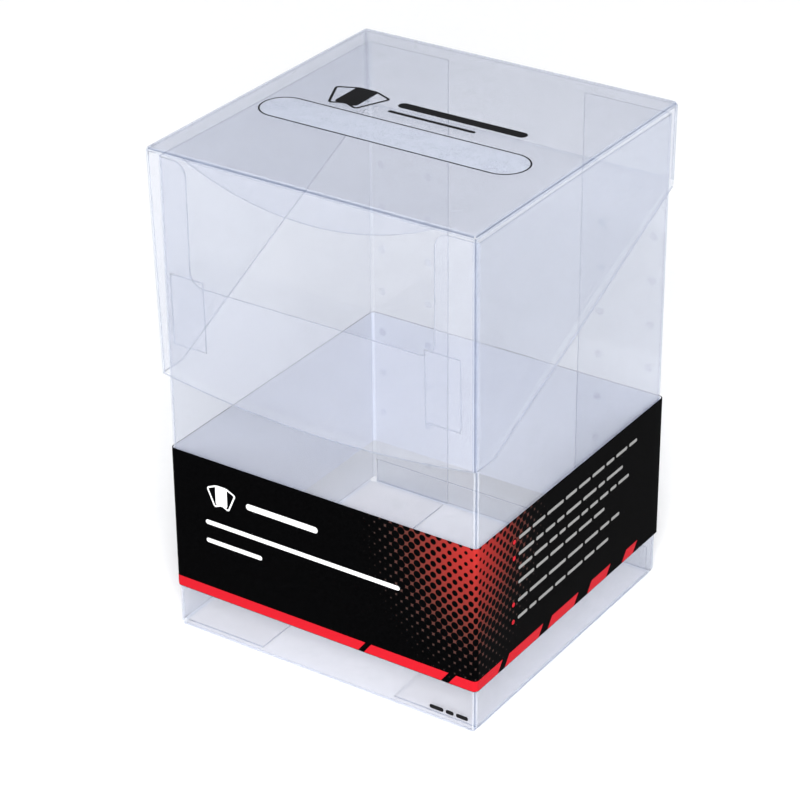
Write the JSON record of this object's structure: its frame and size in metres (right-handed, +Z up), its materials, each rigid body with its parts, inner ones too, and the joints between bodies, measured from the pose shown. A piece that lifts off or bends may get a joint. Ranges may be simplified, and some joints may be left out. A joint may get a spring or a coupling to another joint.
{
  "type": "flip-lid box for graded card slabs",
  "caption": "Clear folded-sheet box with a hinged flip lid, a thumb notch, a write-on strip and a printed belly band, for storing graded card slabs upright.",
  "frame": {"origin": "on the table, at the middle of the closed box's outline", "axes": "+Z up, -Y out of the wall with the thumb notch, +X to the right seen from the front; the lid hinges at the +Y wall"},
  "size_m": [0.0966, 0.0974, 0.141],
  "materials": {
    "clear_sheet": "clear gloss sheet",
    "folded_edge": "stress-clouded clear fold",
    "frosted_strip": "frosted",
    "printed_band": "satin print, pale inside"
  },
  "bodies": {
    "body": {"front_wall": "clear_sheet", "back_wall": "clear_sheet", "left_wall": "clear_sheet", "right_wall": "clear_sheet", "body_corner_folds": "folded_edge", "left_seam_flap": "clear_sheet", "right_seam_flap": "clear_sheet", "left_seam_welds": "folded_edge", "right_seam_welds": "folded_edge", "floor_panel": "clear_sheet", "floor_tuck_flap": "clear_sheet", "left_dust_flap": "clear_sheet", "right_dust_flap": "clear_sheet", "floor_folds": "folded_edge", "hinge_fold": "folded_edge"},
    "lid": {"lid_top": "clear_sheet", "lid_front_flap": "clear_sheet", "lid_back_panel": "clear_sheet", "lid_left_wing": "clear_sheet", "lid_right_wing": "clear_sheet", "lid_top_folds": "folded_edge", "lid_corner_folds": "folded_edge", "lid_left_tab": "clear_sheet", "lid_right_tab": "clear_sheet", "lid_lock_tongue": "clear_sheet", "write_on_strip": "frosted_strip"},
    "belly_band": {"band_front": "printed_band", "band_back": "printed_band", "band_left": "printed_band", "band_right": "printed_band", "band_folds": "printed_band", "band_glue_lap": "printed_band"}
  },
  "joints": [
    {"name": "lid_hinge", "type": "hinge", "parent": "body", "child": "lid", "pos_m": [0, 0.04799, 0.119], "axis": [-1, 0, 0], "range_deg": [0, 175]},
    {"name": "band_slide", "type": "slide", "parent": "body", "child": "belly_band", "axis": [0, 0, 1], "range_m": [-0.013, 0.015]}
  ]
}
